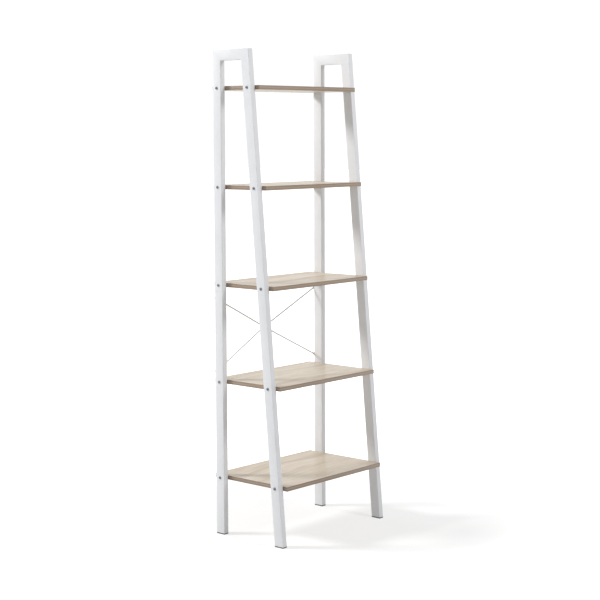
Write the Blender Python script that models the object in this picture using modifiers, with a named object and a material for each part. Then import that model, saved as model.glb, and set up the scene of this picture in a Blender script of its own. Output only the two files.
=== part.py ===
"""Five-tier ladder shelf: two A-shaped steel side frames, five boards, an X brace and their fasteners.

Metres, +Z up.  The floor is z = 0, X runs across the shelf, and -Y is the front, where the legs lean out.
The origin is on the floor, in the middle of the shelf's width and of its whole depth.
"""

import math

import bmesh
import bpy
from mathutils import Vector

# ---------------------------------------------------------------- driving dimensions

HEIGHT = 1.720
WIDTH = 0.558  # over the outer faces of the two side frames
SPREAD_FLOOR = 0.320  # front face of the front leg to rear face of the rear leg, on the floor
SPREAD_TOP = 0.171  # the same, at the top of the frame

GAP = 0.0003  # left between pieces that touch

TUBE_WIDTH = 0.021  # across the shelf
TUBE_DEPTH = 0.038  # front to back
TUBE_WALL = 0.0012
TUBE_RADIUS = 0.0012
TUBE_SPARE = 0.076  # cut off each end of a tube, past its seam or mitre

BOARD_THICKNESS = 0.015
BOARD_EDGE_RADIUS = 0.0006
BOARD_PITCH = 0.3455
BOTTOM_BOARD_HEIGHT = 0.205  # middle of the bottom board
FRONT_OVERHANG = 0.020  # board in front of the front legs
REAR_OVERHANG = 0.0225  # board behind the rear legs

JOINT_DROP = 0.0215  # seam between upper frame and lower leg, below the middle of its board
INSERT_ABOVE = 0.045
INSERT_BELOW = 0.020
INSERT_WALL = 0.0015
INSERT_CLEARANCE = 0.0004
INSERT_SPARE = 0.019

FOOT_THICKNESS = 0.004
FOOT_PLUG_HEIGHT = 0.018
FOOT_PLUG_CLEARANCE = 0.0004
FOOT_SPARE = 0.030  # of the foot's stock, above and below its plug

BOLT_HEAD_RADIUS = 0.0050
BOLT_HEAD_HEIGHT = 0.0024
BOLT_RIM_RADIUS = 0.0012  # rounding between the side and the top of the head
BOLT_RADIUS = 0.0030
BOLT_GRIP = 0.030  # length in the board
BOLT_CLEARANCE = 0.0003
BOLT_SOCKET_FLATS = 0.0040
BOLT_SOCKET_DEPTH = 0.0018
BLIND_DEPTH = 0.0020  # hole past the bolt's tip
TIP_CHAMFER = 0.0010  # on the tips of bolts and screws

ROD_RADIUS = 0.0027
BRACE_BOW = 0.0205  # the crossing, behind the rear legs
BRACE_TOP_MARGIN = 0.0075  # upper screws below the end of the joint insert
BRACE_LOWER_RISE = 0.0352  # lower screws above the middle of the board below
BRACE_BEND = 0.010  # half the length over which a rod is bent
EYELET_RADIUS = 0.0075
EYELET_THICKNESS = 0.0018
EYELET_SIDES = 24

RIVET_FLANGE_RADIUS = 0.0050
RIVET_FLANGE = 0.0008
RIVET_RADIUS = 0.0035
RIVET_LENGTH = 0.010

SCREW_RADIUS = 0.0025
SCREW_LENGTH = 0.016
SCREW_FLANGE_RADIUS = 0.0050
SCREW_FLANGE = 0.0012
SCREW_FLANGE_CHAMFER = 0.0004
SCREW_HEX_FLATS = 0.0080
SCREW_HEX_HEIGHT = 0.0055
SCREW_HEX_CHAMFER = 0.0009

TURN_STEPS = 16  # sides of a turned piece
ARC_STEPS = 3
CUTTER_SIDES = 12
CUTTER_REACH = 0.30

# ---------------------------------------------------------------- worked-out places

SIDES = {"left": -1, "right": 1}
ROWS = ("bottom", "lower", "middle", "upper", "top")
BRACED_ROW = "lower"  # the brace stands on this row and hangs from the one above it
JOINT_ROW = "middle"

LEAN = math.atan((SPREAD_FLOOR - SPREAD_TOP) / HEIGHT)
LEG_X = WIDTH / 2 - TUBE_WIDTH / 2
BOARD_LENGTH = WIDTH - 2 * TUBE_WIDTH - 2 * GAP


def board_height(row):
    return BOTTOM_BOARD_HEIGHT + ROWS.index(row) * BOARD_PITCH


def spread_at(z):
    return SPREAD_FLOOR - math.tan(LEAN) * z


ROD_OFFSET = ROD_RADIUS + GAP / 2
BACK_REACH = max(REAR_OVERHANG, BRACE_BOW + ROD_OFFSET + ROD_RADIUS)
FRONT_REACH = spread_at(BOTTOM_BOARD_HEIGHT) + FRONT_OVERHANG
REAR_FACE = (FRONT_REACH - BACK_REACH) / 2  # y of the rear legs' rear face
REAR_LEG_Y = REAR_FACE - TUBE_DEPTH / 2
FRONT_LEG_DEPTH = TUBE_DEPTH / math.cos(LEAN)  # a leaning tube's size along Y


def front_face(z):
    return REAR_FACE - spread_at(z)


def front_leg_y(z):
    return front_face(z) + FRONT_LEG_DEPTH / 2


JOINT_HEIGHT = board_height(JOINT_ROW) - JOINT_DROP
BRACE_TOP = JOINT_HEIGHT - INSERT_BELOW - BRACE_TOP_MARGIN
BRACE_BOTTOM = board_height(BRACED_ROW) + BRACE_LOWER_RISE
HEAD_FACE = WIDTH / 2 + GAP  # underside of the bolt heads

# ---------------------------------------------------------------- scene and materials


def empty_scene():
    for old in list(bpy.data.objects):
        bpy.data.objects.remove(old, do_unlink=True)


def new_collection(name):
    collection = bpy.data.collections.new(name)
    bpy.context.scene.collection.children.link(collection)
    return collection


def new_material(name, color, roughness, metallic):
    material = bpy.data.materials.new(name)
    material.use_nodes = True
    shader = material.node_tree.nodes["Principled BSDF"]
    shader.inputs["Base Color"].default_value = (*color, 1)
    shader.inputs["Roughness"].default_value = roughness
    shader.inputs["Metallic"].default_value = metallic
    return material


FINISHES = {
    "white_powder_coat": ((0.86, 0.86, 0.87), 0.42, 0.0),
    "oak_board": ((0.72, 0.62, 0.50), 0.50, 0.0),
    "dark_zinc": ((0.16, 0.16, 0.17), 0.38, 0.9),
    "bright_zinc": ((0.62, 0.62, 0.60), 0.35, 1.0),
    "grey_plastic": ((0.20, 0.20, 0.20), 0.60, 0.0),
}

empty_scene()
SHELF = new_collection("ladder_shelf")
CUTTERS = new_collection("cutters")

# ---------------------------------------------------------------- modelling helpers


def add_object(name, mesh, finish=None):
    """Puts a mesh in the shelf with its own material, or among the cutters if it has no finish."""
    piece = bpy.data.objects.new(name, mesh)
    if finish is None:
        CUTTERS.objects.link(piece)
        piece.hide_render = True
        piece.display_type = "WIRE"
        return piece
    SHELF.objects.link(piece)
    piece.data.materials.append(new_material(name, *FINISHES[finish]))
    return piece


def mesh_from(name, bm):
    mesh = bpy.data.meshes.new(name)
    bm.to_mesh(mesh)
    bm.free()
    return mesh


def box_mesh(name, size, radius=0.0, radius_axis=None, segments=3):
    """A box, with its edges along one axis (or all edges) rounded."""
    bm = bmesh.new()
    bmesh.ops.create_cube(bm, size=1.0)
    bmesh.ops.scale(bm, vec=size, verts=bm.verts)
    if radius:
        edges = list(bm.edges)
        if radius_axis is not None:
            edges = [e for e in edges if abs((e.verts[0].co - e.verts[1].co)[radius_axis]) > radius]
        bmesh.ops.bevel(bm, geom=edges, offset=radius, segments=segments, profile=0.5, affect="EDGES")
    return mesh_from(name, bm)


def prism_mesh(name, radius, length, sides):
    """A straight prism or cylinder along Z, centred on its origin."""
    bm = bmesh.new()
    bmesh.ops.create_cone(
        bm, cap_ends=True, segments=sides, radius1=radius, radius2=radius, depth=length
    )
    return mesh_from(name, bm)


def smooth(piece, angle=35):
    piece.data.shade_smooth()
    piece.data.set_sharp_from_angle(angle=math.radians(angle))


def boolean(piece, other, operation="DIFFERENCE"):
    modifier = piece.modifiers.new(other.name, "BOOLEAN")
    modifier.operation = operation
    modifier.object = other


def cut_beyond(piece, name, point, normal):
    """Takes away everything past a plane."""
    block = add_object(name, box_mesh(name, (CUTTER_REACH,) * 3))
    direction = Vector(normal).normalized()
    block.rotation_euler = direction.to_track_quat("Z", "Y").to_euler()
    block.location = Vector(point) + direction * (CUTTER_REACH / 2)
    boolean(piece, block)


def drill_cutter(name, start, end, radius):
    """A round cutter from one point to another."""
    a, b = Vector(start), Vector(end)
    drill = add_object(name, prism_mesh(name, radius, (b - a).length, CUTTER_SIDES))
    drill.rotation_euler = (b - a).to_track_quat("Z", "Y").to_euler()
    drill.location = (a + b) / 2
    return drill


def quarter_arc(centre, radius):
    """Profile points round a quarter circle, from straight above its centre out to the side."""
    angles = [math.pi / 2 * (1 - i / ARC_STEPS) for i in range(ARC_STEPS + 1)]
    return [(centre[0] + radius * math.cos(a), centre[1] + radius * math.sin(a)) for a in angles]


def turned(name, profile, finish):
    """A solid of revolution about Z, its profile running down the outer side.

    The profile either goes from axis to axis or ends where it started, which makes a ring.
    """
    bm = bmesh.new()
    ring = profile[0] == profile[-1]
    points = [bm.verts.new((x, 0, z)) for x, z in (profile[:-1] if ring else profile)]
    for a, b in zip(points, points[1:]):
        bm.edges.new((a, b))
    if ring:
        bm.edges.new((points[-1], points[0]))
    piece = add_object(name, mesh_from(name, bm), finish)
    screw = piece.modifiers.new("turn", "SCREW")
    screw.steps = TURN_STEPS
    screw.render_steps = TURN_STEPS
    screw.use_merge_vertices = True
    screw.merge_threshold = 0.00005
    screw.use_smooth_shade = False
    return piece


def tube(name, size, length, finish="white_powder_coat", wall=TUBE_WALL, radius=TUBE_RADIUS):
    """A rectangular tube along its own Z, open at both ends."""
    width, depth = size
    piece = add_object(name, box_mesh(name, (width, depth, length), radius, radius_axis=2), finish)
    bore_size = (width - 2 * wall, depth - 2 * wall, length + 2 * TUBE_SPARE)
    bore_name = name + "_bore"
    bore = add_object(bore_name, box_mesh(bore_name, bore_size, radius - wall / 2, radius_axis=2))
    bore.parent = piece
    boolean(piece, bore)
    return piece


def stand(piece, side, leg, z):
    """Sets a leg's piece on the leg's centre line, with its middle at height z, leaning as the leg does."""
    if leg == "rear":
        piece.location = (SIDES[side] * LEG_X, REAR_LEG_Y, z)
    else:
        piece.location = (SIDES[side] * LEG_X, front_leg_y(z), z)
        piece.rotation_euler = (-LEAN, 0, 0)


# ---------------------------------------------------------------- shelf bolts and their holes


def bolt_place(row, side, leg):
    """Where a bolt's axis meets the outer face of its leg."""
    z = board_height(row)
    y = REAR_LEG_Y if leg == "rear" else front_leg_y(z)
    return Vector((SIDES[side] * HEAD_FACE, y, z))


def make_bolt_holes():
    """One cutter for each bolt, from outside the leg into the end of the board."""
    holes = {}
    depth = TUBE_WIDTH + 2 * GAP + BOLT_GRIP + BLIND_DEPTH
    for row in ROWS:
        for side, sign in SIDES.items():
            for leg in ("rear", "front"):
                start = bolt_place(row, side, leg)
                outward = Vector((sign, 0, 0))
                name = f"hole_{row}_{side}_{leg}"
                radius = BOLT_RADIUS + BOLT_CLEARANCE
                holes[row, side, leg] = drill_cutter(
                    name, start + outward * BLIND_DEPTH, start - outward * depth, radius
                )
    return holes


def make_bolt(row, side, leg):
    """A low-head furniture bolt with a hexagon socket, through the leg into the board."""
    length = TUBE_WIDTH + 2 * GAP + BOLT_GRIP
    rim = (BOLT_HEAD_RADIUS - BOLT_RIM_RADIUS, BOLT_HEAD_HEIGHT - BOLT_RIM_RADIUS)
    profile = [
        (0, BOLT_HEAD_HEIGHT),
        *quarter_arc(rim, BOLT_RIM_RADIUS),
        (BOLT_HEAD_RADIUS, 0),
        (BOLT_RADIUS, 0),
        (BOLT_RADIUS, -length + TIP_CHAMFER),
        (BOLT_RADIUS - TIP_CHAMFER, -length),
        (0, -length),
    ]
    name = f"bolt_{row}_{side}_{leg}"
    bolt = turned(name, profile, "dark_zinc")
    socket_name = f"socket_{row}_{side}_{leg}"
    socket_mesh = prism_mesh(
        socket_name, BOLT_SOCKET_FLATS / math.sqrt(3), 2 * BOLT_SOCKET_DEPTH, 6
    )
    socket = add_object(socket_name, socket_mesh)
    socket.location = (0, 0, BOLT_HEAD_HEIGHT)
    socket.parent = bolt
    boolean(bolt, socket)
    bolt.rotation_euler = (0, SIDES[side] * math.pi / 2, 0)
    bolt.location = bolt_place(row, side, leg)
    smooth(bolt)


# ---------------------------------------------------------------- boards


def make_board(row, holes):
    """A board between the two side frames, deeper on each row down."""
    z = board_height(row)
    back = REAR_FACE + REAR_OVERHANG
    front = front_face(z) - FRONT_OVERHANG
    size = (BOARD_LENGTH, back - front, BOARD_THICKNESS)
    name = f"shelf_{row}"
    mesh = box_mesh(name, size, BOARD_EDGE_RADIUS, segments=2)
    board = add_object(name, mesh, "oak_board")
    board.location = (0, (back + front) / 2, z)
    for side in SIDES:
        for leg in ("rear", "front"):
            boolean(board, holes[row, side, leg])


# ---------------------------------------------------------------- side frames


def drill_for_rows(piece, rows, side, leg, holes):
    for row in rows:
        boolean(piece, holes[row, side, leg])


def upper_rows():
    return ROWS[ROWS.index(JOINT_ROW) :]


def lower_rows():
    return ROWS[: ROWS.index(JOINT_ROW)]


def mitre(side, leg):
    """Outer corner of the frame, and the direction across the mitre from the post to the bar."""
    x = SIDES[side] * LEG_X
    if leg == "rear":
        corner = Vector((x, REAR_FACE, HEIGHT))
        inner = Vector((x, REAR_FACE - TUBE_DEPTH, HEIGHT - TUBE_DEPTH))
    else:
        corner = Vector((x, front_face(HEIGHT), HEIGHT))
        low = HEIGHT - TUBE_DEPTH
        inner = Vector((x, front_face(low) + FRONT_LEG_DEPTH, low))
    across = (corner - inner).cross(Vector((1, 0, 0)))
    if across.z < 0:
        across = -across
    return corner, across.normalized()


def make_post(side, leg, holes):
    """An upper post, from the seam below the middle board up to its mitre with the top bar."""
    middle = (JOINT_HEIGHT + HEIGHT) / 2
    length = HEIGHT - JOINT_HEIGHT + 2 * TUBE_SPARE
    name = f"{side}_{leg}_post"
    post = tube(name, (TUBE_WIDTH, TUBE_DEPTH), length)
    stand(post, side, leg, middle)
    x = SIDES[side] * LEG_X
    seam = (x, REAR_LEG_Y if leg == "rear" else front_leg_y(JOINT_HEIGHT), JOINT_HEIGHT + GAP / 2)
    cut_beyond(post, name + "_seam_cut", seam, (0, 0, -1))
    corner, across = mitre(side, leg)
    cut_beyond(post, name + "_mitre_cut", corner - across * (GAP / 2), across)
    drill_for_rows(post, upper_rows(), side, leg, holes)


def make_top_bar(side):
    """The level bar that closes a side frame at the top, mitred to both posts."""
    length = SPREAD_TOP + 2 * TUBE_SPARE
    name = f"{side}_top_bar"
    bar = tube(name, (TUBE_WIDTH, TUBE_DEPTH), length)
    bar.rotation_euler = (-math.pi / 2, 0, 0)
    bar.location = (SIDES[side] * LEG_X, REAR_FACE - SPREAD_TOP / 2, HEIGHT - TUBE_DEPTH / 2)
    for leg in ("rear", "front"):
        corner, across = mitre(side, leg)
        cut_beyond(bar, f"{name}_{leg}_mitre_cut", corner + across * (GAP / 2), -across)


def make_lower_leg(side, leg, holes, rivet_holes):
    """A lower leg, from its foot up to the seam."""
    top = JOINT_HEIGHT - GAP / 2
    bottom = FOOT_THICKNESS + GAP
    name = f"{side}_{leg}_lower_leg"
    lower = tube(name, (TUBE_WIDTH, TUBE_DEPTH), top - bottom + 2 * TUBE_SPARE)
    stand(lower, side, leg, (top + bottom) / 2)
    x = SIDES[side] * LEG_X
    for label, z, direction in (("top", top, 1), ("bottom", bottom, -1)):
        y = REAR_LEG_Y if leg == "rear" else front_leg_y(z)
        cut_beyond(lower, f"{name}_{label}_cut", (x, y, z), (0, 0, direction))
    drill_for_rows(lower, lower_rows(), side, leg, holes)
    if leg == "rear":
        for level in ("upper", "lower"):
            boolean(lower, rivet_holes[side, level])


def make_joint_insert(side, leg, holes):
    """The smaller tube welded in the lower leg that the upper post slides over."""
    top = JOINT_HEIGHT + INSERT_ABOVE
    bottom = JOINT_HEIGHT - INSERT_BELOW
    inset = 2 * (TUBE_WALL + INSERT_CLEARANCE)
    name = f"{side}_{leg}_joint_insert"
    insert = tube(
        name,
        (TUBE_WIDTH - inset, TUBE_DEPTH - inset),
        top - bottom + 2 * INSERT_SPARE,
        finish="bright_zinc",
        wall=INSERT_WALL,
        radius=TUBE_RADIUS,
    )
    stand(insert, side, leg, (top + bottom) / 2)
    x = SIDES[side] * LEG_X
    for label, z, direction in (("top", top, 1), ("bottom", bottom, -1)):
        y = REAR_LEG_Y if leg == "rear" else front_leg_y(z)
        cut_beyond(insert, f"{name}_{label}_cut", (x, y, z), (0, 0, direction))
    boolean(insert, holes[JOINT_ROW, side, leg])


def make_foot(side, leg):
    """A plastic foot: a flat sole under the tube and a plug up inside it."""
    name = f"{side}_{leg}_foot"
    plug_top = FOOT_THICKNESS + FOOT_PLUG_HEIGHT
    reach = 2 * (plug_top + FOOT_SPARE)
    foot = add_object(
        name, box_mesh(name, (TUBE_WIDTH, TUBE_DEPTH, reach), TUBE_RADIUS, radius_axis=2), "grey_plastic"
    )
    stand(foot, side, leg, 0)
    x = SIDES[side] * LEG_X
    y = REAR_LEG_Y if leg == "rear" else front_leg_y(0)
    cut_beyond(foot, name + "_sole_cut", (x, y, FOOT_THICKNESS), (0, 0, 1))
    inset = 2 * (TUBE_WALL + FOOT_PLUG_CLEARANCE)
    plug_name = name + "_plug"
    plug_size = (TUBE_WIDTH - inset, TUBE_DEPTH - inset, reach - GAP)
    plug_radius = TUBE_RADIUS / 2
    plug = add_object(plug_name, box_mesh(plug_name, plug_size, plug_radius, radius_axis=2))
    stand(plug, side, leg, 0)
    boolean(foot, plug, "UNION")
    cut_beyond(foot, name + "_floor_cut", (x, y, 0), (0, 0, -1))
    cut_beyond(foot, name + "_plug_cut", (x, y, plug_top), (0, 0, 1))


# ---------------------------------------------------------------- X brace


def brace_height(level):
    return BRACE_TOP if level == "upper" else BRACE_BOTTOM


def make_rivet_holes():
    holes = {}
    for side, sign in SIDES.items():
        for level in ("upper", "lower"):
            z = brace_height(level)
            start = (sign * LEG_X, REAR_FACE + RIVET_LENGTH, z)
            end = (sign * LEG_X, REAR_FACE - 3 * TUBE_WALL, z)
            radius = RIVET_RADIUS + GAP
            holes[side, level] = drill_cutter(f"rivet_hole_{side}_{level}", start, end, radius)
    return holes


def make_rivet_nut(side, level):
    """A threaded rivet nut in the rear wall of a rear leg."""
    bore = SCREW_RADIUS + GAP
    flange_top = RIVET_FLANGE
    profile = [
        (bore, flange_top),
        (RIVET_FLANGE_RADIUS, flange_top),
        (RIVET_FLANGE_RADIUS, 0),
        (RIVET_RADIUS, 0),
        (RIVET_RADIUS, -RIVET_LENGTH),
        (bore, -RIVET_LENGTH),
        (bore, flange_top),
    ]
    nut = turned(f"brace_rivet_nut_{side}_{level}", profile, "bright_zinc")
    nut.rotation_euler = (-math.pi / 2, 0, 0)
    nut.location = (SIDES[side] * LEG_X, REAR_FACE + GAP, brace_height(level))
    smooth(nut)


def eyelet_face():
    """y of the side of the eyelets that faces the leg."""
    return REAR_FACE + GAP + RIVET_FLANGE + GAP


def make_brace_screw(side, level):
    """A flanged hexagon screw that holds an eyelet of the brace."""
    hex_radius = SCREW_HEX_FLATS / math.sqrt(3)
    top = SCREW_FLANGE + SCREW_HEX_HEIGHT
    profile = [
        (0, SCREW_FLANGE),
        (SCREW_FLANGE_RADIUS - SCREW_FLANGE_CHAMFER, SCREW_FLANGE),
        (SCREW_FLANGE_RADIUS, SCREW_FLANGE - SCREW_FLANGE_CHAMFER),
        (SCREW_FLANGE_RADIUS, 0),
        (SCREW_RADIUS, 0),
        (SCREW_RADIUS, -SCREW_LENGTH + TIP_CHAMFER),
        (SCREW_RADIUS - TIP_CHAMFER, -SCREW_LENGTH),
        (0, -SCREW_LENGTH),
    ]
    name = f"brace_screw_{side}_{level}"
    screw = turned(name, profile, "bright_zinc")
    head_name = name + "_head"
    bm = bmesh.new()
    bmesh.ops.create_cone(
        bm, cap_ends=True, segments=6, radius1=hex_radius, radius2=hex_radius, depth=top
    )
    crown = [e for e in bm.edges if min(v.co.z for v in e.verts) > 0]
    bmesh.ops.bevel(
        bm, geom=crown, offset=SCREW_HEX_CHAMFER, segments=2, profile=0.5, affect="EDGES"
    )
    head = add_object(head_name, mesh_from(head_name, bm))
    head.location = (0, 0, SCREW_FLANGE / 2 + top / 2)
    head.parent = screw
    boolean(screw, head, "UNION")
    screw.rotation_euler = (-math.pi / 2, 0, 0)
    y = eyelet_face() + EYELET_THICKNESS + GAP
    screw.location = (SIDES[side] * LEG_X, y, brace_height(level))
    smooth(screw)


def rod_mesh(name, points):
    """A round rod along a line of points, as a closed mesh."""
    curve = bpy.data.curves.new(name, "CURVE")
    curve.dimensions = "3D"
    curve.bevel_depth = ROD_RADIUS
    curve.bevel_resolution = 2
    curve.use_fill_caps = True
    spline = curve.splines.new("POLY")
    spline.points.add(len(points) - 1)
    for target, point in zip(spline.points, points):
        target.co = (*point, 1)
    guide = bpy.data.objects.new(name + "_line", curve)
    CUTTERS.objects.link(guide)
    bpy.context.view_layer.update()
    evaluated = guide.evaluated_get(bpy.context.evaluated_depsgraph_get())
    mesh = bpy.data.meshes.new_from_object(evaluated)
    bm = bmesh.new()
    bm.from_mesh(mesh)
    bmesh.ops.remove_doubles(bm, verts=bm.verts, dist=0.00001)
    bmesh.ops.recalc_face_normals(bm, faces=bm.faces)
    bm.to_mesh(mesh)
    bm.free()
    bpy.data.objects.remove(guide, do_unlink=True)
    return mesh


def make_brace_rod(name, left_level, right_level, offset):
    """One rod of the X, bent back in the middle, with a flattened eyelet at each end.

    offset moves its middle back or forward, so that the two rods pass each other.
    """
    y_end = eyelet_face() + ROD_RADIUS
    middle = Vector((0, REAR_FACE + BRACE_BOW + offset, (BRACE_TOP + BRACE_BOTTOM) / 2))
    eyelets = [
        Vector((-LEG_X, y_end, brace_height(left_level))),
        Vector((LEG_X, y_end, brace_height(right_level))),
    ]
    start_distance = (SCREW_FLANGE_RADIUS + EYELET_RADIUS) / 2
    ends = [e + (middle - e).normalized() * start_distance for e in eyelets]
    bend = [middle + (e - middle).normalized() * BRACE_BEND for e in ends]
    rounded = [
        bend[0].lerp(middle, t).lerp(middle.lerp(bend[1], t), t) for t in (0, 0.25, 0.5, 0.75, 1)
    ]
    mesh = rod_mesh(name, [ends[0], *rounded, ends[1]])
    rod = add_object(name, mesh, "white_powder_coat")
    for label, eyelet in zip(("left", "right"), eyelets):
        centre = Vector((eyelet.x, eyelet_face() + EYELET_THICKNESS / 2, eyelet.z))
        half = Vector((0, EYELET_THICKNESS / 2, 0))
        disc_name = f"{name}_{label}_eyelet"
        disc = add_object(disc_name, prism_mesh(disc_name, EYELET_RADIUS, EYELET_THICKNESS, EYELET_SIDES))
        disc.rotation_euler = (math.pi / 2, 0, 0)
        disc.location = centre
        boolean(rod, disc, "UNION")
        hole_name = f"{name}_{label}_eyelet_hole"
        hole = drill_cutter(hole_name, centre - 3 * half, centre + 3 * half, SCREW_RADIUS + GAP)
        boolean(rod, hole)
    smooth(rod)


# ---------------------------------------------------------------- assembly


def build():
    holes = make_bolt_holes()
    rivet_holes = make_rivet_holes()
    for row in ROWS:
        make_board(row, holes)
    for side in SIDES:
        make_top_bar(side)
        for leg in ("rear", "front"):
            make_post(side, leg, holes)
            make_lower_leg(side, leg, holes, rivet_holes)
            make_joint_insert(side, leg, holes)
            make_foot(side, leg)
            for row in ROWS:
                make_bolt(row, side, leg)
        for level in ("upper", "lower"):
            make_rivet_nut(side, level)
            make_brace_screw(side, level)
    make_brace_rod("brace_rod_falling", "upper", "lower", -ROD_OFFSET)
    make_brace_rod("brace_rod_rising", "lower", "upper", ROD_OFFSET)


build()
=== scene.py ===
"""Looks of the five-tier ladder shelf: welded side frames, oak-decor boards, X brace, fasteners and feet.

Metres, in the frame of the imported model: X across the shelf, -Y the front, +Z up, the floor at z = 0.
"""

import math

import bmesh
import bpy
from mathutils import Matrix, Vector


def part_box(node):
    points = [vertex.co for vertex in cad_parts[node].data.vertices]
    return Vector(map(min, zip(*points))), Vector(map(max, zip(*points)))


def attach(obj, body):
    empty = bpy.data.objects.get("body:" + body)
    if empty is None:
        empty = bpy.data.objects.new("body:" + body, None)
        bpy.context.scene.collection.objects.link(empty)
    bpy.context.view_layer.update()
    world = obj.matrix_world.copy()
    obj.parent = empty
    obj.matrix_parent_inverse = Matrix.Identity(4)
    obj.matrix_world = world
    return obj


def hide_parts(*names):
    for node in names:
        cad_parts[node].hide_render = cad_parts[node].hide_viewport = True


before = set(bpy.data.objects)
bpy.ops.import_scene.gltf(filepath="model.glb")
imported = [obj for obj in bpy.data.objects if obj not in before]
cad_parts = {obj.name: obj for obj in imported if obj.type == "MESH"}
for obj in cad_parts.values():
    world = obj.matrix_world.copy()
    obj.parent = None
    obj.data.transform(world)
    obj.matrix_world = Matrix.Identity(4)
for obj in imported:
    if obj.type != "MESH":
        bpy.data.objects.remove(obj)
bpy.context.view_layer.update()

BODY = "root"
SIDES = ("left", "right")
LEGS = ("rear", "front")
ROWS = ("bottom", "lower", "middle", "upper", "top")
LOWER_ROWS, UPPER_ROWS = ROWS[:2], ROWS[2:]  # below and above the legs' seam
LEVELS = ("upper", "lower")  # of the brace's fasteners

# ---------------------------------------------------------------- sizes that the nodes' boxes do not give

SAME = 0.0002  # places closer than this count as the same
PAST = 0.002  # how far a cutter runs past what it cuts
HEAD_GAP = 0.0003  # between a screw's head and what it is tightened against
WELD_DISTANCE = 0.000001

TUBE_WALL = 0.0012
TUBE_RADIUS = 0.0012  # of a tube's long edges
TUBE_SEGMENTS = 4
HOLE_RADIUS = 0.0033  # for the board bolts
RIVET_HOLE_RADIUS = 0.0038  # for the rivet nuts

FOOT_SOLE = 0.0040
FOOT_ROUND = 0.0006  # of the sole's lower edge
PLUG_GAP = 0.0004  # between the foot's plug and the tube
PLUG_START = 0.002  # height at which it starts, inside the sole
PLUG_ROUND = 0.0008

BAND_SEAM = 0.00012  # groove between the edge band and the board's faces
BAND_ROUND = 0.0007

TURN_STEPS = 48
SHANK_TAPER = 0.001  # length of a screw's pointed end
SHANK_TIP = 2 / 3  # radius of its end, over the shank's

BOLT_SHANK_RADIUS = 0.0030
BOLT_CROWN = 0.0010  # rounding between the side and the top of the head
BOLT_BREAK = 0.0002  # chamfer on the head's underside
SOCKET_FLATS = 0.0040
SOCKET_DEPTH = 0.0018
SOCKET_LEAD = 0.0004  # chamfer round the socket's mouth
SOCKET_LEAD_SHARE = 0.66  # its middle radius, over the socket's flats

SCREW_RADIUS = 0.0025
SCREW_FLANGE = 0.0012
SCREW_FLANGE_ROUND = 0.0004
SCREW_FLANGE_FLAT = 0.90  # share of the flange that is flat on top
SCREW_HEX_FLATS = 0.0080
SCREW_HEX_CHAMFER = 0.0007

NUT_FLANGE = 0.0008
NUT_BREAK = 0.0003  # chamfer on the flange's rim
NUT_BODY_RADIUS = 0.0035
NUT_BORE = 0.0028  # radius

ROD_RADIUS = 0.0027
ROD_BEND = 0.008  # half the length over which a rod is bent
ROD_SIDES = 20
ROD_STEPS = 160
EYELET_RADIUS = 0.0075
EYELET_THICKNESS = 0.0018
EYELET_HOLE = 0.0028  # radius
EYELET_HOLE_SIDES = 48
EYELET_BREAK = 0.0004
EYELET_DRILL = 0.01  # how far its drill runs to each side
ROD_START = 0.6  # where a rod starts inside its eyelet, over the eyelet's radius
PRESSED_LENGTH = 0.016  # length over which a rod's end is pressed flat
PRESSED_WIDER = 1.1  # how much wider it is there, over the rod's radius
PRESSED_THINNER = 0.98  # its thickness over the eyelet's

# ---------------------------------------------------------------- mesh helpers


def mesh_from(name, bm):
    mesh = bpy.data.meshes.new(name)
    bmesh.ops.recalc_face_normals(bm, faces=bm.faces)
    bm.to_mesh(mesh)
    bm.free()
    return mesh


def add_object(name, mesh):
    piece = bpy.data.objects.new(name, mesh)
    bpy.context.scene.collection.objects.link(piece)
    return piece


def smooth(piece, angle=40):
    """Smooth shading, with edges steeper than the angle kept sharp."""
    piece.data.shade_smooth()
    piece.data.set_sharp_from_angle(angle=math.radians(angle))


def apply_modifiers(piece):
    """Puts the evaluated mesh in place of the piece's own."""
    bpy.context.view_layer.update()
    evaluated = piece.evaluated_get(bpy.context.evaluated_depsgraph_get())
    mesh = bpy.data.meshes.new_from_object(evaluated)
    piece.modifiers.clear()
    piece.data = mesh


def boolean(piece, others, operation="DIFFERENCE"):
    """Joins other objects to a piece or cuts them out of it, and removes them."""
    for other in others:
        modifier = piece.modifiers.new(other.name, "BOOLEAN")
        modifier.operation = operation
        modifier.object = other
    apply_modifiers(piece)
    for other in others:
        bpy.data.objects.remove(other, do_unlink=True)


def weld(piece):
    """Merges points that lie together, as where a ring's profile ends on its start."""
    bm = bmesh.new()
    bm.from_mesh(piece.data)
    bmesh.ops.remove_doubles(bm, verts=bm.verts, dist=WELD_DISTANCE)
    bmesh.ops.recalc_face_normals(bm, faces=bm.faces)
    bm.to_mesh(piece.data)
    bm.free()


def finish_piece(piece, material, nodes):
    """Gives a piece its body and a material if it has none, and hides the CAD nodes that it stands for."""
    if not piece.data.materials:
        piece.data.materials.append(material)
    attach(piece, BODY)
    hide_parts(*nodes)


def drill(start, end, radius, sides=32):
    """A round cutter from one point to another."""
    a, b = Vector(start), Vector(end)
    bm = bmesh.new()
    bmesh.ops.create_cone(
        bm, cap_ends=True, segments=sides, radius1=radius, radius2=radius, depth=(b - a).length
    )
    cutter = add_object("drill", mesh_from("drill", bm))
    cutter.rotation_euler = (b - a).to_track_quat("Z", "Y").to_euler()
    cutter.location = (a + b) / 2
    return cutter


def slab(outline, low, high):
    """A closed outline of (y, z) points, extruded along X."""
    bm = bmesh.new()
    near = [bm.verts.new((low, y, z)) for y, z in outline]
    far = [bm.verts.new((high, y, z)) for y, z in outline]
    bm.faces.new(near)
    bm.faces.new(reversed(far))
    for i in range(len(outline)):
        j = (i + 1) % len(outline)
        bm.faces.new((near[j], near[i], far[i], far[j]))
    bmesh.ops.recalc_face_normals(bm, faces=bm.faces)
    return bm


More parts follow.
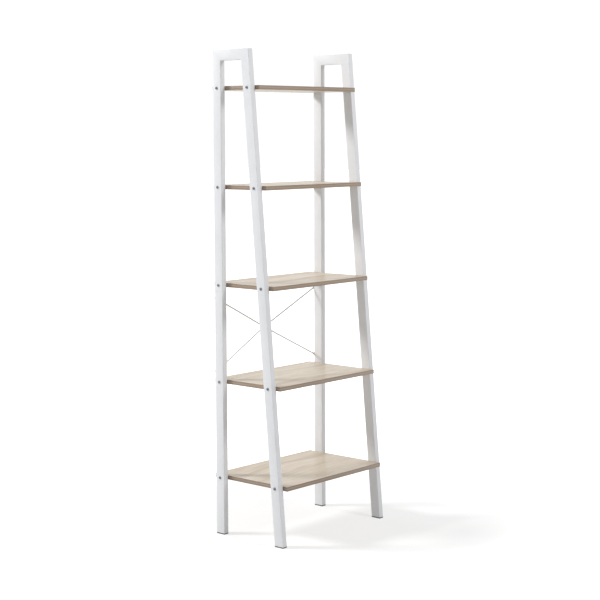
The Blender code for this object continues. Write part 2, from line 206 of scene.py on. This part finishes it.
def tube_piece(name, outer, inner, low, high, ends):
    """A tube shape from its outline, its edges round but for those at its open ends, and its bore.

    ends are the heights of the open ends. The bore still has to be cut out.
    """
    bm = slab(outer, low, high)

    def at_end(edge):
        return any(all(abs(v.co.z - z) < SAME for v in edge.verts) for z in ends)

    round_edges = [e for e in bm.edges if not at_end(e)]
    bmesh.ops.bevel(
        bm, geom=round_edges, offset=TUBE_RADIUS, segments=TUBE_SEGMENTS, profile=0.5, affect="EDGES"
    )
    piece = add_object(name, mesh_from(name, bm))
    bore = slab(inner, low + TUBE_WALL, high - TUBE_WALL)
    across = [e for e in bore.edges if abs(e.verts[0].co.x - e.verts[1].co.x) < SAME]
    bmesh.ops.bevel(bore, geom=across, offset=TUBE_WALL / 2, segments=2, profile=0.5, affect="EDGES")
    return piece, add_object(name + "_bore", mesh_from(name + "_bore", bore))


def turned(name, profile):
    """A solid of revolution about Z from (radius, z) points; a point on the axis closes it."""
    bm = bmesh.new()
    rings = []
    for radius, z in profile:
        if radius == 0:
            rings.append([bm.verts.new((0, 0, z))])
            continue
        angles = [2 * math.pi * i / TURN_STEPS for i in range(TURN_STEPS)]
        rings.append([bm.verts.new((radius * math.cos(a), radius * math.sin(a), z)) for a in angles])
    for a, b in zip(rings, rings[1:]):
        for i in range(TURN_STEPS):
            j = (i + 1) % TURN_STEPS
            corners = (a[i % len(a)], a[j % len(a)], b[j % len(b)], b[i % len(b)])
            bm.faces.new(list(dict.fromkeys(corners)))
    return mesh_from(name, bm)


def arc(centre, radius, start, end, steps):
    """Points on an arc, angles in degrees."""
    angles = [math.radians(start + (end - start) * i / steps) for i in range(steps + 1)]
    return [(centre[0] + radius * math.cos(a), centre[1] + radius * math.sin(a)) for a in angles]


def hex_prism(name, flats, low, high, chamfer=0.0):
    """A hexagon prism along Z, its top edges rounded by the chamfer."""
    bm = bmesh.new()
    radius = flats / math.sqrt(3)
    bmesh.ops.create_cone(
        bm, cap_ends=True, segments=6, radius1=radius, radius2=radius, depth=high - low
    )
    bmesh.ops.translate(bm, verts=bm.verts, vec=(0, 0, (low + high) / 2))
    if chamfer:
        top = [e for e in bm.edges if min(v.co.z for v in e.verts) > high - SAME]
        bmesh.ops.bevel(bm, geom=top, offset=chamfer, segments=3, profile=0.5, affect="EDGES")
    return add_object(name, mesh_from(name, bm))


# ---------------------------------------------------------------- places read from the model


def middle(node):
    """x, y and z of the middle of a node's box."""
    low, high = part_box(node)
    return [(a + b) / 2 for a, b in zip(low, high)]


def front_leg_line(side):
    """The front leg's front face as a height-to-y function, and the tube's size along Y."""
    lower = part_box(f"{side}_front_lower_leg")
    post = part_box(f"{side}_front_post")
    slope = (post[0].y - lower[0].y) / (post[0].z - lower[0].z)

    def front_face(z):
        return lower[0].y + slope * (z - lower[0].z)

    return front_face, lower[1].y - front_face(lower[1].z)


def leg_line(side, leg, low, high):
    """A leg's front face and size along Y, as above; low and high are the box of a piece of it."""
    if leg == "front":
        return front_leg_line(side)
    return (lambda z: low.y), high.y - low.y


def bolt_cutters(rows, side, legs, low, high):
    """Cutters for the holes of a leg's board bolts, from x = low to x = high and a little past."""
    cutters = []
    for row in rows:
        for leg in legs:
            _, y, z = middle(f"bolt_{row}_{side}_{leg}")
            cutters.append(drill((low - TUBE_RADIUS, y, z), (high + TUBE_RADIUS, y, z), HOLE_RADIUS))
    return cutters


# ---------------------------------------------------------------- side frames


def make_upper_frame(side, coat):
    """Two posts and the top bar as one welded frame, its mitres ground smooth."""
    front_face, depth_y = front_leg_line(side)
    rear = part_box(f"{side}_rear_post")
    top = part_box(f"{side}_top_bar")[1].z
    low, high = rear[0].x, rear[1].x
    depth = rear[1].y - rear[0].y
    seam = rear[0].z
    under = top - depth
    outer = [
        (rear[1].y, seam),
        (rear[1].y, top),
        (front_face(top), top),
        (front_face(seam), seam),
        (front_face(seam) + depth_y, seam),
        (front_face(under) + depth_y, under),
        (rear[0].y, under),
        (rear[0].y, seam),
    ]
    wall = TUBE_WALL
    past = seam - depth
    lean = depth_y / depth
    inner = [
        (rear[1].y - wall, past),
        (rear[1].y - wall, top - wall),
        (front_face(top - wall) + wall * lean, top - wall),
        (front_face(past) + wall * lean, past),
        (front_face(past) + depth_y - wall * lean, past),
        (front_face(under + wall) + depth_y - wall * lean, under + wall),
        (rear[0].y + wall, under + wall),
        (rear[0].y + wall, past),
    ]
    name = f"{side}_upper_frame"
    piece, bore = tube_piece(name, outer, inner, low, high, [seam])
    cutters = bolt_cutters(UPPER_ROWS, side, LEGS, low, high)
    boolean(piece, [bore, *cutters])
    smooth(piece)
    nodes = [f"{side}_rear_post", f"{side}_front_post", f"{side}_top_bar"]
    finish_piece(piece, coat, nodes)


def make_lower_leg(side, leg, coat):
    """A lower leg between its foot and the seam."""
    node = f"{side}_{leg}_lower_leg"
    low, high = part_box(node)
    front, depth = leg_line(side, leg, low, high)
    wall = TUBE_WALL
    bottom, top = low.z, high.z
    outer = [
        (front(bottom), bottom),
        (front(top), top),
        (front(top) + depth, top),
        (front(bottom) + depth, bottom),
    ]
    below, above = bottom - depth, top + depth
    inner = [
        (front(below) + wall, below),
        (front(above) + wall, above),
        (front(above) + depth - wall, above),
        (front(below) + depth - wall, below),
    ]
    name = f"{side}_{leg}_leg"
    piece, bore = tube_piece(name, outer, inner, low.x, high.x, [bottom, top])
    cutters = bolt_cutters(LOWER_ROWS, side, [leg], low.x, high.x)
    if leg == "rear":
        for level in LEVELS:
            x, _, z = middle(f"brace_rivet_nut_{side}_{level}")
            cutters.append(drill((x, high.y + wall, z), (x, high.y - 3 * wall, z), RIVET_HOLE_RADIUS))
    boolean(piece, [bore, *cutters])
    smooth(piece)
    finish_piece(piece, coat, [node])


def make_foot(side, leg, plastic):
    """A moulded foot: a sole with a soft lower edge, and a plug up inside the tube."""
    node = f"{side}_{leg}_foot"
    low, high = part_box(node)
    front, depth = leg_line(side, leg, low, high)
    outline = [
        (front(0), 0),
        (front(FOOT_SOLE), FOOT_SOLE),
        (front(FOOT_SOLE) + depth, FOOT_SOLE),
        (front(0) + depth, 0),
    ]
    bm = slab(outline, low.x, high.x)
    upright = [e for e in bm.edges if abs(e.verts[0].co.z - e.verts[1].co.z) > FOOT_SOLE / 2]
    bmesh.ops.bevel(
        bm, geom=upright, offset=TUBE_RADIUS, segments=TUBE_SEGMENTS, profile=0.5, affect="EDGES"
    )
    rim = [e for e in bm.edges if max(v.co.z for v in e.verts) < SAME]
    bmesh.ops.bevel(bm, geom=rim, offset=FOOT_ROUND, segments=3, profile=0.5, affect="EDGES")
    piece = add_object(f"{side}_{leg}_moulded_foot", mesh_from(node, bm))
    inset = TUBE_WALL + PLUG_GAP
    outline = [
        (front(PLUG_START) + inset, PLUG_START),
        (front(high.z) + inset, high.z),
        (front(high.z) + depth - inset, high.z),
        (front(PLUG_START) + depth - inset, PLUG_START),
    ]
    plug = slab(outline, low.x + inset, high.x - inset)
    bmesh.ops.bevel(
        plug, geom=list(plug.edges), offset=PLUG_ROUND, segments=2, profile=0.5, affect="EDGES"
    )
    boolean(piece, [add_object(node + "_plug", mesh_from(node + "_plug", plug))], "UNION")
    smooth(piece)
    finish_piece(piece, plastic, [node])


# ---------------------------------------------------------------- boards


def rounded_box(low, high, radius, segments):
    """A box with every edge rounded."""
    bm = bmesh.new()
    bmesh.ops.create_cube(bm, size=1.0)
    bmesh.ops.scale(bm, vec=high - low, verts=bm.verts)
    bmesh.ops.translate(bm, vec=(low + high) / 2, verts=bm.verts)
    bmesh.ops.bevel(
        bm, geom=list(bm.edges), offset=radius, segments=segments, profile=0.5, affect="EDGES"
    )
    return bm


def make_board(row, decor, band):
    """A decor-faced board with an edge band of its own colour on all four sides.

    A hairline groove runs round both faces where the band meets them.
    """
    node = f"shelf_{row}"
    low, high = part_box(node)
    bm = rounded_box(low, high, BAND_ROUND, 4)
    bmesh.ops.recalc_face_normals(bm, faces=bm.faces)
    flats = [f for f in bm.faces if abs(f.normal.z) > 0.999]
    bmesh.ops.inset_individual(bm, faces=flats, thickness=BAND_SEAM, use_even_offset=True)
    for face in bm.faces:
        face.material_index = 1
    for face in flats:
        bmesh.ops.inset_individual(bm, faces=[face], thickness=BAND_SEAM, depth=-BAND_SEAM)
        bmesh.ops.inset_individual(bm, faces=[face], thickness=BAND_SEAM, depth=BAND_SEAM)
        face.material_index = 0
    piece = add_object(f"board_{row}", mesh_from(node, bm))
    piece.data.materials.append(decor)
    piece.data.materials.append(band)
    cutters = []
    for side in SIDES:
        for leg in LEGS:
            bolt = f"bolt_{row}_{side}_{leg}"
            start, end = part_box(bolt)
            _, y, z = middle(bolt)
            cutters.append(drill((start.x - PAST, y, z), (end.x + PAST, y, z), HOLE_RADIUS))
    boolean(piece, cutters)
    smooth(piece, 30)
    finish_piece(piece, decor, [node])


# ---------------------------------------------------------------- fasteners


def make_bolts(zinc):
    """Low-head furniture bolts, one mesh for all of them, each turned to its side."""
    low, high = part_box("bolt_bottom_right_front")
    radius = (high.y - low.y) / 2
    head = high.x - (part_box("right_rear_post")[1].x + HEAD_GAP)
    tip = head - (high.x - low.x)
    profile = [
        (0, head),
        (radius - 3 * BOLT_CROWN / 2, head),
        *arc((radius - BOLT_CROWN, head - BOLT_CROWN), BOLT_CROWN, 90, 0, 6),
        (radius, BOLT_BREAK),
        (radius - BOLT_BREAK, 0),
        (BOLT_SHANK_RADIUS, 0),
        (BOLT_SHANK_RADIUS, tip + SHANK_TAPER),
        (BOLT_SHANK_RADIUS * SHANK_TIP, tip),
        (0, tip),
    ]
    master = add_object("bolt_master", turned("furniture_bolt", profile))
    socket = hex_prism("socket", SOCKET_FLATS, head - SOCKET_DEPTH, head + SOCKET_DEPTH)
    mouth = SOCKET_FLATS * SOCKET_LEAD_SHARE
    cone = [
        (0, head + SOCKET_LEAD),
        (mouth + SOCKET_LEAD, head + SOCKET_LEAD),
        (mouth - SOCKET_LEAD, head - SOCKET_LEAD),
        (0, head - SOCKET_LEAD),
    ]
    boolean(master, [socket, add_object("lead", turned("lead", cone))])
    smooth(master, 30)
    mesh = master.data
    bpy.data.objects.remove(master, do_unlink=True)
    for row in ROWS:
        for side in SIDES:
            for leg in LEGS:
                node = f"bolt_{row}_{side}_{leg}"
                low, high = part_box(node)
                sign, top = (1, high.x) if side == "right" else (-1, low.x)
                bolt = add_object(f"furniture_{node}", mesh)
                bolt.rotation_euler = (0, sign * math.pi / 2, 0)
                bolt.location = (top - sign * head, *middle(node)[1:])
                finish_piece(bolt, zinc, [node])


def make_brace_screw(side, level, zinc):
    """A screw with a flanged hexagon head, from behind through the rod's eyelet."""
    node = f"brace_screw_{side}_{level}"
    low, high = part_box(node)
    x, _, z = middle(node)
    flange = (high.x - low.x) / 2
    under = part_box("brace_rod_falling")[0].y + EYELET_THICKNESS + HEAD_GAP
    length = under - low.y
    shoulder = flange - SCREW_FLANGE_ROUND
    profile = [
        (0, SCREW_FLANGE),
        (flange * SCREW_FLANGE_FLAT, SCREW_FLANGE),
        *arc((shoulder, SCREW_FLANGE / 2), SCREW_FLANGE_ROUND, 80, -20, 4),
        (shoulder, 0),
        (SCREW_RADIUS, 0),
        (SCREW_RADIUS, SHANK_TAPER - length),
        (SCREW_RADIUS * SHANK_TIP, -length),
        (0, -length),
    ]
    screw = add_object(f"hex_{node}", turned(node, profile))
    head = hex_prism(
        node + "_head", SCREW_HEX_FLATS, SCREW_FLANGE / 2, high.y - under, chamfer=SCREW_HEX_CHAMFER
    )
    boolean(screw, [head], "UNION")
    smooth(screw, 30)
    screw.rotation_euler = (-math.pi / 2, 0, 0)
    screw.location = (x, under, z)
    finish_piece(screw, zinc, [node])


def make_rivet_nut(side, level, zinc):
    """A flanged sleeve in the rear leg's rear wall, which the screw goes into."""
    node = f"brace_rivet_nut_{side}_{level}"
    low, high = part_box(node)
    x, _, z = middle(node)
    flange = (high.x - low.x) / 2
    depth = high.y - low.y
    profile = [
        (NUT_BORE, 0),
        (flange - NUT_BREAK, 0),
        (flange, -NUT_BREAK),
        (flange, -NUT_FLANGE),
        (NUT_BODY_RADIUS, -NUT_FLANGE),
        (NUT_BODY_RADIUS, -depth),
        (NUT_BORE, -depth),
        (NUT_BORE, 0),
    ]
    nut = add_object(f"flanged_{node}", turned(node, profile))
    weld(nut)
    nut.rotation_euler = (-math.pi / 2, 0, 0)
    nut.location = (x, high.y, z)
    smooth(nut, 30)
    finish_piece(nut, zinc, [node])


# ---------------------------------------------------------------- X brace


def make_rod(name, left_level, right_level, coat):
    """A bent rod with pressed eyelets, which bows out behind the shelf."""
    low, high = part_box(name)
    ends = [f"brace_screw_left_{left_level}", f"brace_screw_right_{right_level}"]
    left, right = (Vector((x, 0, z)) for x, _, z in map(middle, ends))
    half = (right - left).length / 2
    along = (right - left).normalized()
    across = Vector((-along.z, 0, along.x))
    plane = low.y + EYELET_THICKNESS / 2
    apex = high.y - ROD_RADIUS
    end_y = low.y + ROD_RADIUS
    steep = (apex - end_y) / (math.hypot(half, ROD_BEND) - ROD_BEND)
    start = EYELET_RADIUS * ROD_START
    bm = bmesh.new()
    rings = []
    for i in range(ROD_STEPS + 1):
        # points crowd towards both ends, where the section changes
        s = -half + start + (2 * half - 2 * start) * (0.5 - 0.5 * math.cos(math.pi * i / ROD_STEPS))
        y = apex - steep * (math.hypot(s, ROD_BEND) - ROD_BEND)
        near = min(1.0, max(0.0, (half - abs(s) - start) / PRESSED_LENGTH))
        round_share = near * near * (3 - 2 * near)
        y = plane + (y - plane) * round_share
        wide = ROD_RADIUS * (1 + PRESSED_WIDER * (1 - round_share))
        thick = EYELET_THICKNESS / 2 * (1 - round_share) * PRESSED_THINNER + ROD_RADIUS * round_share
        centre = (left + right) / 2 + along * s
        ring = []
        for k in range(ROD_SIDES):
            angle = 2 * math.pi * k / ROD_SIDES
            point = Vector((centre.x, y, centre.z)) + across * wide * math.cos(angle)
            point.y += thick * math.sin(angle)
            ring.append(bm.verts.new(point))
        rings.append(ring)
    for p, q in zip(rings, rings[1:]):
        for k in range(ROD_SIDES):
            m = (k + 1) % ROD_SIDES
            bm.faces.new((p[k], p[m], q[m], q[k]))
    bm.faces.new(rings[0])
    bm.faces.new(reversed(rings[-1]))
    rod = add_object(f"bent_{name}", mesh_from(name, bm))
    h, r, e = EYELET_THICKNESS / 2, EYELET_RADIUS, EYELET_BREAK
    profile = [(0, h), (r - e, h), (r, h - e), (r, e - h), (r - e, -h), (0, -h)]
    discs, holes = [], []
    for x, _, z in (left, right):
        disc = add_object("eyelet", turned("eyelet", profile))
        disc.rotation_euler = (math.pi / 2, 0, 0)
        disc.location = (x, plane, z)
        discs.append(disc)
        front, behind = (x, plane - EYELET_DRILL, z), (x, plane + EYELET_DRILL, z)
        holes.append(drill(front, behind, EYELET_HOLE, EYELET_HOLE_SIDES))
    boolean(rod, discs, "UNION")
    boolean(rod, holes)
    smooth(rod, 35)
    finish_piece(rod, coat, [name])


# ---------------------------------------------------------------- materials

MIX_COLOR_A, MIX_COLOR_B, MIX_COLOR_OUT = 6, 7, 2  # sockets of a Mix node set to colour


def srgb(r, g, b):
    """A colour written as it shows on screen, 0 to 255, as linear light by the sRGB curve."""

    def linear(v):
        v /= 255
        return v / 12.92 if v <= 0.04045 else ((v + 0.055) / 1.055) ** 2.4

    return (linear(r), linear(g), linear(b))


class Graph:
    """A material's node tree, with short ways to add and link nodes.

    Noise scales are in cycles to the metre, bump distances in metres.
    """

    def __init__(self, name, roughness, metallic=0.0, coat=0.0):
        self.material = bpy.data.materials.new(name)
        self.material.use_nodes = True
        self.tree = self.material.node_tree
        self.shader = self.tree.nodes["Principled BSDF"]
        self.shader.inputs["Roughness"].default_value = roughness
        self.shader.inputs["Metallic"].default_value = metallic
        self.shader.inputs["Coat Weight"].default_value = coat
        self.place = self.tree.nodes.new("ShaderNodeTexCoord").outputs["Object"]

    def add(self, kind, inputs=None, **settings):
        """A node; inputs are sockets to link or values to set, by name or index."""
        node = self.tree.nodes.new(kind)
        for key, value in settings.items():
            setattr(node, key, value)
        for key, value in (inputs or {}).items():
            socket = node.inputs[key]
            if isinstance(value, bpy.types.NodeSocket):
                self.tree.links.new(value, socket)
            else:
                socket.default_value = value
        return node

    def stretched(self, scale, offset=(0, 0, 0)):
        """The object's coordinates, scaled and moved."""
        node = self.add("ShaderNodeMapping", {"Vector": self.place, "Scale": scale, "Location": offset})
        return node.outputs["Vector"]

    def noise(self, scale, detail, rough=0.55, vector=None):
        """Noise over the object's coordinates, or over another vector."""
        place = vector or self.place
        inputs = {"Vector": place, "Scale": scale, "Detail": detail, "Roughness": rough}
        return self.add("ShaderNodeTexNoise", inputs).outputs["Fac"]

    def ramp(self, value, *stops):
        """A colour ramp with a stop for each (position, colour)."""
        node = self.add("ShaderNodeValToRGB", {"Fac": value})
        elements = node.color_ramp.elements
        while len(elements) < len(stops):
            elements.new(0.5)
        for element, (position, color) in zip(elements, stops):
            element.position = position
            element.color = (*color, 1)
        return node.outputs["Color"]

    def mix(self, share, base, color):
        """A share of a plain colour over a colour from another node."""
        node = self.add("ShaderNodeMix", {"Factor": share}, data_type="RGBA")
        self.tree.links.new(base, node.inputs[MIX_COLOR_A])
        node.inputs[MIX_COLOR_B].default_value = (*color, 1)
        return node.outputs[MIX_COLOR_OUT]

    def math(self, operation, a, b=0.0):
        return self.add("ShaderNodeMath", {0: a, 1: b}, operation=operation).outputs[0]

    def remap(self, value, low, high, new_low, new_high):
        inputs = {"Value": value, "From Min": low, "From Max": high, "To Min": new_low, "To Max": new_high}
        return self.add("ShaderNodeMapRange", inputs).outputs["Result"]

    def bump(self, height, distance, strength, normal=None):
        inputs = {"Height": height, "Distance": distance, "Strength": strength}
        if normal is not None:
            inputs["Normal"] = normal
        return self.add("ShaderNodeBump", inputs).outputs["Normal"]

    def set(self, socket, value):
        self.tree.links.new(value, self.shader.inputs[socket])


def powder_coat():
    """White powder coat: a fine orange peel, faint clouds of tone and specks of dust."""
    g = Graph("white_powder_coat", 0.42)
    g.shader.inputs["Specular IOR Level"].default_value = 0.4
    cloud = g.noise(9.0, 3.0)
    peel = g.noise(1300.0, 2.0, 0.5)
    ripple = g.noise(380.0, 2.0, 0.5)
    specks = g.noise(2600.0, 1.0)
    base = g.ramp(cloud, (0.30, srgb(229, 230, 233)), (0.75, srgb(236, 237, 239)))
    dust = g.remap(specks, 0.70, 0.82, 0.0, 0.35)
    g.set("Base Color", g.mix(dust, base, srgb(205, 206, 208)))
    g.set("Roughness", g.remap(g.noise(24.0, 4.0), 0.3, 0.7, 0.36, 0.48))
    fine = g.bump(peel, 0.00002, 0.5)
    g.set("Normal", g.bump(ripple, 0.00005, 0.5, fine))
    return g.material


def oak_decor():
    """Pale oak print, its grain along X: a warped figure, streaks, fine lines and dark pores."""
    g = Graph("oak_decor", 0.32)
    warp = g.noise(1.0, 2.0, 0.5, g.stretched((2.2, 9.0, 9.0)))
    shift = g.add("ShaderNodeCombineXYZ", {"Y": g.math("MULTIPLY", warp, 6.0)}).outputs[0]
    place = g.stretched((1.6, 26.0, 26.0))
    figure_place = g.add("ShaderNodeVectorMath", {0: place, 1: shift}, operation="ADD").outputs[0]
    figure = g.noise(1.0, 5.0, 0.6, figure_place)
    streak = g.noise(1.0, 6.0, 0.65, g.stretched((7.0, 240.0, 240.0)))
    fine = g.noise(1.0, 3.0, 0.6, g.stretched((30.0, 1100.0, 1100.0)))
    pores = g.noise(1.0, 2.0, 0.5, g.stretched((60.0, 1500.0, 1500.0), (3.1, 0.7, 0.2)))
    dark, medium, light = srgb(160, 140, 115), srgb(198, 184, 163), srgb(222, 212, 196)
    base = g.ramp(figure, (0.28, dark), (0.50, medium), (0.72, light))
    base = g.mix(g.remap(streak, 0.40, 0.75, 0.0, 0.55), base, srgb(166, 148, 125))
    base = g.mix(g.remap(fine, 0.45, 0.80, 0.0, 0.35), base, srgb(216, 206, 190))
    base = g.mix(g.remap(pores, 0.62, 0.74, 0.0, 0.45), base, srgb(128, 109, 87))
    g.set("Base Color", base)
    g.set("Roughness", g.remap(streak, 0.3, 0.7, 0.27, 0.40))
    low = g.bump(g.remap(pores, 0.60, 0.75, 1.0, 0.0), 0.00002, 0.4)
    g.set("Normal", g.bump(streak, 0.00001, 0.3, low))
    return g.material


def edge_band():
    """A darker, satin edge band: layers along its length, dark rims and a lighter line along its middle."""
    g = Graph("oak_edge_band", 0.45, coat=1.0)
    g.shader.inputs["Specular IOR Level"].default_value = 1.0
    g.shader.inputs["Coat Roughness"].default_value = 0.42
    layers = g.noise(1.0, 5.0, 0.65, g.stretched((5.0, 5.0, 700.0)))
    fine = g.noise(1.0, 3.0, 0.6, g.stretched((26.0, 26.0, 2600.0)))
    dark, medium, light = srgb(92, 66, 40), srgb(122, 95, 64), srgb(156, 130, 98)
    base = g.ramp(layers, (0.30, dark), (0.52, medium), (0.72, light))
    base = g.mix(g.remap(fine, 0.45, 0.75, 0.0, 0.35), base, srgb(84, 61, 38))
    within = g.add("ShaderNodeTexCoord").outputs["Generated"]
    height = g.add("ShaderNodeSeparateXYZ", {0: within}).outputs["Z"]
    none, full = (0, 0, 0), (1, 1, 1)
    line = g.ramp(height, (0.38, none), (0.55, full), (0.70, none))
    base = g.mix(g.math("MULTIPLY", line, 0.35), base, srgb(186, 160, 128))
    rims = g.ramp(height, (0.0, full), (0.14, none), (0.80, none), (1.0, full))
    base = g.mix(g.math("MULTIPLY", rims, 0.5), base, srgb(78, 54, 32))
    g.set("Base Color", base)
    g.set("Roughness", g.remap(layers, 0.3, 0.7, 0.38, 0.50))
    g.set("Normal", g.bump(fine, 0.00003, 0.5))
    return g.material


def zinc(name, dark, light, roughness):
    """Zinc plate: a cloudy tone, a spangle of small grains and a fine roughness."""
    g = Graph(name, roughness, metallic=1.0)
    cells = g.add("ShaderNodeTexVoronoi", {"Vector": g.place, "Scale": 900.0}).outputs["Distance"]
    cloud = g.noise(420.0, 4.0)
    base = g.ramp(cloud, (0.3, dark), (0.7, light))
    g.set("Base Color", g.mix(g.remap(cells, 0.2, 0.8, 0.0, 0.25), base, light))
    g.set("Roughness", g.remap(g.noise(700.0, 3.0), 0.3, 0.7, roughness - 0.08, roughness + 0.10))
    g.set("Normal", g.bump(g.noise(2400.0, 3.0), 0.00001, 0.6))
    return g.material


def foot_plastic():
    """Grey moulded plastic with a fine grain; its dark grey is partly painted shade, standing in for the
    contact shadow where the feet meet the floor.
    """
    g = Graph("foot_plastic_with_painted_contact_shade", 0.6)
    # dark grey: partly the plastic's own tone, partly painted shade for the contact shadow along the floor
    g.set("Base Color", g.ramp(g.noise(60.0, 4.0), (0.3, srgb(92, 92, 93)), (0.7, srgb(112, 112, 112))))
    g.set("Roughness", g.remap(g.noise(150.0, 3.0), 0.3, 0.7, 0.5, 0.7))
    g.set("Normal", g.bump(g.noise(1800.0, 4.0, 0.7), 0.00004, 0.7))
    return g.material


# ---------------------------------------------------------------- the shelf

COAT = powder_coat()
DECOR = oak_decor()
BAND = edge_band()
DARK_ZINC = zinc("dark_zinc_plate", srgb(96, 100, 108), srgb(140, 144, 152), 0.34)
PLAIN_ZINC = zinc("plain_zinc_plate", srgb(178, 178, 176), srgb(214, 214, 212), 0.32)
PLASTIC = foot_plastic()

for side in SIDES:
    make_upper_frame(side, COAT)
    for leg in LEGS:
        make_lower_leg(side, leg, COAT)
        make_foot(side, leg, PLASTIC)
for row in ROWS:
    make_board(row, DECOR, BAND)
make_bolts(DARK_ZINC)
for side in SIDES:
    for level in LEVELS:
        make_brace_screw(side, level, PLAIN_ZINC)
        make_rivet_nut(side, level, PLAIN_ZINC)
make_rod("brace_rod_falling", "upper", "lower", COAT)
make_rod("brace_rod_rising", "lower", "upper", COAT)
for side in SIDES:
    for leg in LEGS:
        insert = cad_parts[f"{side}_{leg}_joint_insert"]
        insert.data.materials.clear()
        insert.data.materials.append(PLAIN_ZINC)

# ---------------------------------------------------------------- floor, light and camera

MIDDLE = Vector((0.0, 0.0, 0.9))  # of the shelf, which the lights are aimed at

FLOOR_SIZE = 40.0
FLOOR_TONES = (0.44, 0.46)
FLOOR_NEAR, FLOOR_FAR = 0.6, 1.5  # distances over which the floor's glow rises
FLOOR_GLOW = 0.27
FLOOR_SEEN_GLOW = (0.33, 0.95)  # what the camera sees on top of it, near and far
FLOOR_IN_GLOSS = 0.8  # share of that seen in the shelf's gloss

CAMERA_PLACE = (-4.0486, -3.5861, 1.4361)
CAMERA_YAW, CAMERA_PITCH, CAMERA_ROLL = 48.5388, -5.3121, -0.2283  # degrees
CAMERA_LENS, CAMERA_SENSOR = 90.272, 36.0  # millimetres
CAMERA_SHIFT = -0.048
CAMERA_REACH = 200.0  # metres


def make_floor():
    """A pale studio floor that glows a little.

    The camera sees it whiter than it lights the shelf, most of all far out, where it meets the backdrop.
    """
    bm = bmesh.new()
    bmesh.ops.create_grid(bm, x_segments=8, y_segments=8, size=FLOOR_SIZE)
    floor = add_object("studio_floor", mesh_from("studio_floor", bm))
    g = Graph("pale_floor", 0.9)
    dark, light = ((tone, tone, tone) for tone in FLOOR_TONES)
    g.set("Base Color", g.ramp(g.noise(1.2, 2.0), (0.3, dark), (0.7, light)))
    g.shader.inputs["Specular IOR Level"].default_value = 0.0
    g.shader.inputs["Emission Color"].default_value = (1, 1, 1, 1)
    distance = g.add("ShaderNodeVectorMath", {0: g.place}, operation="LENGTH").outputs["Value"]
    path = g.add("ShaderNodeLightPath").outputs
    in_gloss = g.math("MULTIPLY", path["Is Glossy Ray"], FLOOR_IN_GLOSS)
    seen = g.math("MAXIMUM", path["Is Camera Ray"], in_gloss)
    rise = g.math("MULTIPLY", seen, g.remap(distance, FLOOR_NEAR, FLOOR_FAR, *FLOOR_SEEN_GLOW))
    g.set("Emission Strength", g.math("ADD", rise, FLOOR_GLOW))
    floor.data.materials.append(g.material)


def make_world(lit, seen):
    """Even white surroundings.

    lit is the strength that lights the shelf, seen the one that shows behind it and in its gloss.
    """
    world = bpy.data.worlds.new("studio")
    bpy.context.scene.world = world
    world.use_nodes = True
    tree = world.node_tree
    tree.nodes.clear()
    out = tree.nodes.new("ShaderNodeOutputWorld")
    path = tree.nodes.new("ShaderNodeLightPath")
    either = tree.nodes.new("ShaderNodeMath")
    either.operation = "MAXIMUM"
    tree.links.new(path.outputs["Is Camera Ray"], either.inputs[0])
    tree.links.new(path.outputs["Is Glossy Ray"], either.inputs[1])
    choose = tree.nodes.new("ShaderNodeMixShader")
    tree.links.new(either.outputs[0], choose.inputs[0])
    for index, strength in ((1, lit), (2, seen)):
        background = tree.nodes.new("ShaderNodeBackground")
        background.inputs["Color"].default_value = (1, 1, 1, 1)
        background.inputs["Strength"].default_value = strength
        tree.links.new(background.outputs[0], choose.inputs[index])
    tree.links.new(choose.outputs[0], out.inputs[0])


def softbox(name, place, size, power):
    """A round soft light aimed at the middle of the shelf."""
    light = bpy.data.lights.new(name, "AREA")
    light.shape = "DISK"
    light.size = size
    light.energy = power
    lamp = bpy.data.objects.new(name, light)
    bpy.context.scene.collection.objects.link(lamp)
    lamp.location = place
    lamp.rotation_euler = (MIDDLE - Vector(place)).to_track_quat("-Z", "Y").to_euler()


def make_camera():
    """The photo's camera, fitted to the shelf's corners and edges."""
    camera = bpy.data.cameras.new("camera")
    camera.lens = CAMERA_LENS
    camera.sensor_width = CAMERA_SENSOR
    camera.shift_y = CAMERA_SHIFT
    camera.clip_end = CAMERA_REACH
    holder = bpy.data.objects.new("camera", camera)
    bpy.context.scene.collection.objects.link(holder)
    holder.location = CAMERA_PLACE
    yaw, pitch, roll = (math.radians(turn) for turn in (CAMERA_YAW, CAMERA_PITCH, CAMERA_ROLL))
    turn = Matrix.Rotation(-yaw, 3, "Z") @ Matrix.Rotation(math.pi / 2 + pitch, 3, "X")
    turn = turn @ Matrix.Rotation(roll, 3, "Z")
    holder.rotation_euler = turn.to_euler()
    bpy.context.scene.camera = holder


make_floor()
make_world(lit=0.39, seen=1.05)
softbox("key", place=(-3.8, 4.6, 4.9), size=1.65, power=384.0)
softbox("back", place=(0.0, 3.0, 2.0), size=1.5, power=16.0)
softbox("front", place=(0.4, -2.6, 2.45), size=0.8, power=30.0)
make_camera()
bpy.context.scene.view_settings.view_transform = "Standard"
